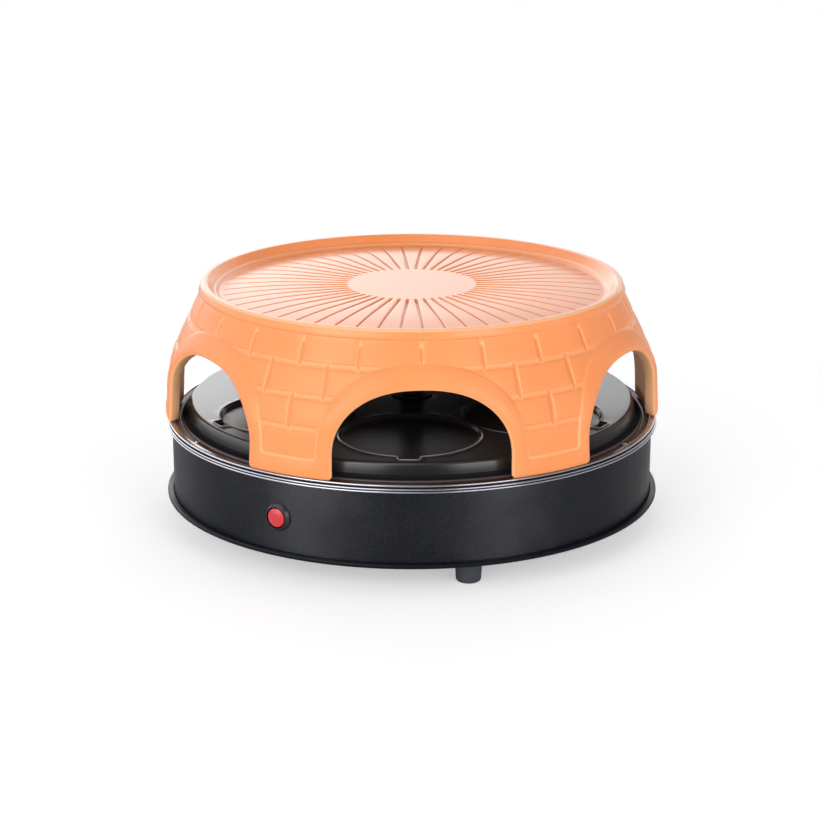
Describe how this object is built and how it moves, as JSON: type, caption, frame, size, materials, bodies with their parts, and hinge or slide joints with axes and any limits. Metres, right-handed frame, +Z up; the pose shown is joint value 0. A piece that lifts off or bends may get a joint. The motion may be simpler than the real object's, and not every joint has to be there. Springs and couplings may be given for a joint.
{
  "type": "electric pizza maker",
  "caption": "Round table-top pizza oven: black electric base with silver rim, baking plate with round places, plug-in upper element and a lift-off terracotta dome with arched mouths.",
  "frame": {"origin": "on the table under the centre of the round base", "axes": "+Z up along the axis of the round base; -Y towards the pilot lamp; +Y towards the cord inlet"},
  "size_m": [0.3923, 0.3924, 0.1908],
  "materials": {
    "terracotta": "glazed terracotta, satin sides and a glossy top",
    "black_paint": "fine textured black paint",
    "rim_steel": "bright rolled steel",
    "tray_steel": "dark enamelled sheet",
    "black_plastic": "satin black plastic",
    "screw_steel": "zinc plated",
    "bracket_steel": "plain sheet steel",
    "lamp_red": "red translucent lens",
    "ceramic": "unglazed steatite",
    "brass": "plain brass",
    "heater_sheath": "oxidised steel sheath",
    "wire_sleeve": "woven glass sleeve",
    "plate_coating": "black non-stick coating"
  },
  "bodies": {
    "base": {"bottom_pan": "black_paint", "housing_band": "black_paint", "rim_ring": "rim_steel", "element_tray": "tray_steel", "foot_front_left": "black_plastic", "foot_front_right": "black_plastic", "foot_rear_right": "black_plastic", "foot_rear_left": "black_plastic", "lamp_bezel": "black_plastic", "lamp_body": "black_plastic", "lamp_nut": "black_plastic", "cord_bush": "black_plastic", "foot_screws": "screw_steel", "foot_nuts": "screw_steel", "cover_screws": "screw_steel", "tray_screws": "screw_steel", "housing_brackets": "bracket_steel", "heater_clips": "bracket_steel", "lamp_lens": "lamp_red", "terminal_block": "ceramic", "thermal_cutout": "ceramic", "heater_bushes": "ceramic", "centre_socket": "ceramic", "terminal_screws": "brass", "socket_contacts": "brass", "lower_heater": "heater_sheath", "heater_pins": "heater_sheath", "lead_wires": "wire_sleeve"},
    "baking_plate": {"baking_plate": "plate_coating"},
    "upper_element": {"column_stud": "screw_steel", "cap_nut": "screw_steel", "heater_spider": "bracket_steel", "column_collar": "bracket_steel", "column_tube": "bracket_steel", "upper_reflector": "bracket_steel", "column_plug": "ceramic", "column_head": "ceramic", "plug_pins": "brass", "upper_heater": "heater_sheath", "column_leads": "wire_sleeve"},
    "dome": {"dome": "terracotta"}
  },
  "joints": [
    {"name": "plate_lift", "type": "slide", "parent": "base", "child": "baking_plate", "axis": [0, 0, 1], "range_m": [0, 0.06]},
    {"name": "heater_lift", "type": "slide", "parent": "baking_plate", "child": "upper_element", "axis": [0, 0, 1], "range_m": [0, 0.1]},
    {"name": "dome_lift", "type": "slide", "parent": "upper_element", "child": "dome", "axis": [0, 0, 1], "range_m": [0, 0.13]}
  ]
}
